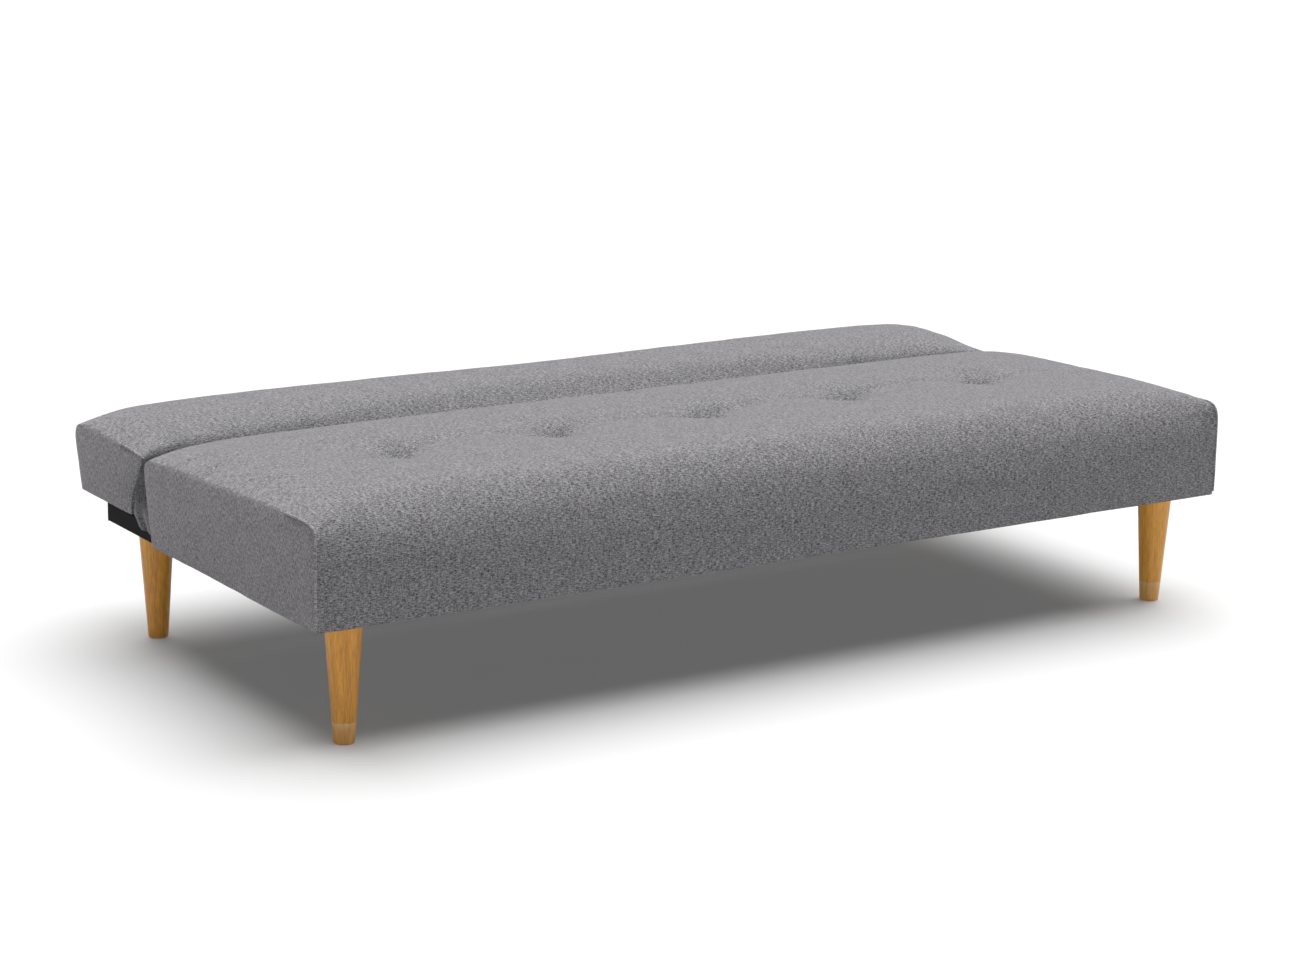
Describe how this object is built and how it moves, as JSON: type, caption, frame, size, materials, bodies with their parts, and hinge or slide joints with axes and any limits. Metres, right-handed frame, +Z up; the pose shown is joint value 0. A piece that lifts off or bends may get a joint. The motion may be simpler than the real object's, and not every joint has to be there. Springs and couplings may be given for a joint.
{
  "type": "sofa bed",
  "caption": "Click-clack sofa bed on turned wooden legs, shown flat as a bed; the narrow upholstered back tips up on ratchet hinges to make a sofa.",
  "frame": {"origin": "middle of the footprint's bounding box, on the floor", "axes": "+X along the length, to the right of someone standing in front; +Y from the seat's front to the back's rear; +Z up"},
  "size_m": [1.8, 0.9036, 0.4],
  "materials": {
    "cover_fabric": "light and dark grey melange linen-look weave",
    "gusset_fabric": "darker gathered cloth in the gap",
    "dust_fabric": "black non-woven underside",
    "foam": "cream polyurethane foam",
    "leg_wood": "oiled honey-brown hardwood",
    "frame_wood": "sawn softwood",
    "black_rail": "matt black",
    "black_plastic": "moulded plug",
    "hinge_steel": "zinc plated",
    "spring_steel": "drawn wire",
    "tuft_cord": "waxed twine with toggles"
  },
  "bodies": {
    "base": {"front_cross_rail": "black_rail", "gusset_left": "gusset_fabric", "gusset_right": "gusset_fabric", "gusset_sling": "gusset_fabric", "hinge_leaf_left": "hinge_steel", "hinge_leaf_right": "hinge_steel", "hinge_pin_left": "hinge_steel", "hinge_pin_right": "hinge_steel", "leg_bolt_front_left": "hinge_steel", "leg_bolt_front_right": "hinge_steel", "leg_bolt_rear_left": "hinge_steel", "leg_bolt_rear_right": "hinge_steel", "leg_front_left": "leg_wood", "leg_front_right": "leg_wood", "leg_plate_front_left": "hinge_steel", "leg_plate_front_right": "hinge_steel", "leg_plate_rear_left": "hinge_steel", "leg_plate_rear_right": "hinge_steel", "leg_rear_left": "leg_wood", "leg_rear_right": "leg_wood", "middle_cross_rail": "black_rail", "pawl_pin_left": "hinge_steel", "pawl_pin_right": "hinge_steel", "rail_cap_left": "black_plastic", "rail_cap_right": "black_plastic", "rear_cross_rail": "black_rail", "seat_cover": "cover_fabric", "seat_dust_cover": "dust_fabric", "seat_end_board_left": "frame_wood", "seat_end_board_right": "frame_wood", "seat_foam": "foam", "seat_front_board": "frame_wood", "seat_rear_board": "frame_wood", "seat_spring_1": "spring_steel", "seat_spring_2": "spring_steel", "seat_spring_3": "spring_steel", "seat_spring_4": "spring_steel", "seat_spring_5": "spring_steel", "side_rail_left": "black_rail", "side_rail_right": "black_rail", "tuft_tie_1": "tuft_cord", "tuft_tie_2": "tuft_cord", "tuft_tie_3": "tuft_cord", "tuft_tie_4": "tuft_cord", "tuft_tie_5": "tuft_cord"},
    "back": {"back_cover": "cover_fabric", "back_dust_cover": "dust_fabric", "back_end_board_left": "frame_wood", "back_end_board_right": "frame_wood", "back_foam": "foam", "back_front_board": "frame_wood", "back_rear_board": "frame_wood", "back_spring_1": "spring_steel", "back_spring_2": "spring_steel", "back_spring_3": "spring_steel", "back_stretcher": "frame_wood", "ratchet_sector_left": "hinge_steel", "ratchet_sector_right": "hinge_steel"},
    "left_pawl": {"pawl_left": "hinge_steel"},
    "right_pawl": {"pawl_right": "hinge_steel"}
  },
  "joints": [
    {"name": "recline", "type": "hinge", "parent": "base", "child": "back", "pos_m": [0, 0.22325, 0.3099], "axis": [1, 0, 0], "range_deg": [0, 75], "deforming": ["gusset_left", "gusset_right", "gusset_sling"]},
    {"name": "left_pawl_latch", "type": "hinge", "parent": "base", "child": "left_pawl", "pos_m": [-0.8643, 0.2195, 0.27433], "axis": [-1, 0, 0], "range_deg": [0, 9], "stiffness_Nm_per_rad": 0.05, "springref_deg": -20.05},
    {"name": "right_pawl_latch", "type": "hinge", "parent": "base", "child": "right_pawl", "pos_m": [0.8643, 0.2195, 0.27433], "axis": [-1, 0, 0], "range_deg": [0, 9], "stiffness_Nm_per_rad": 0.05, "springref_deg": -20.05}
  ]
}
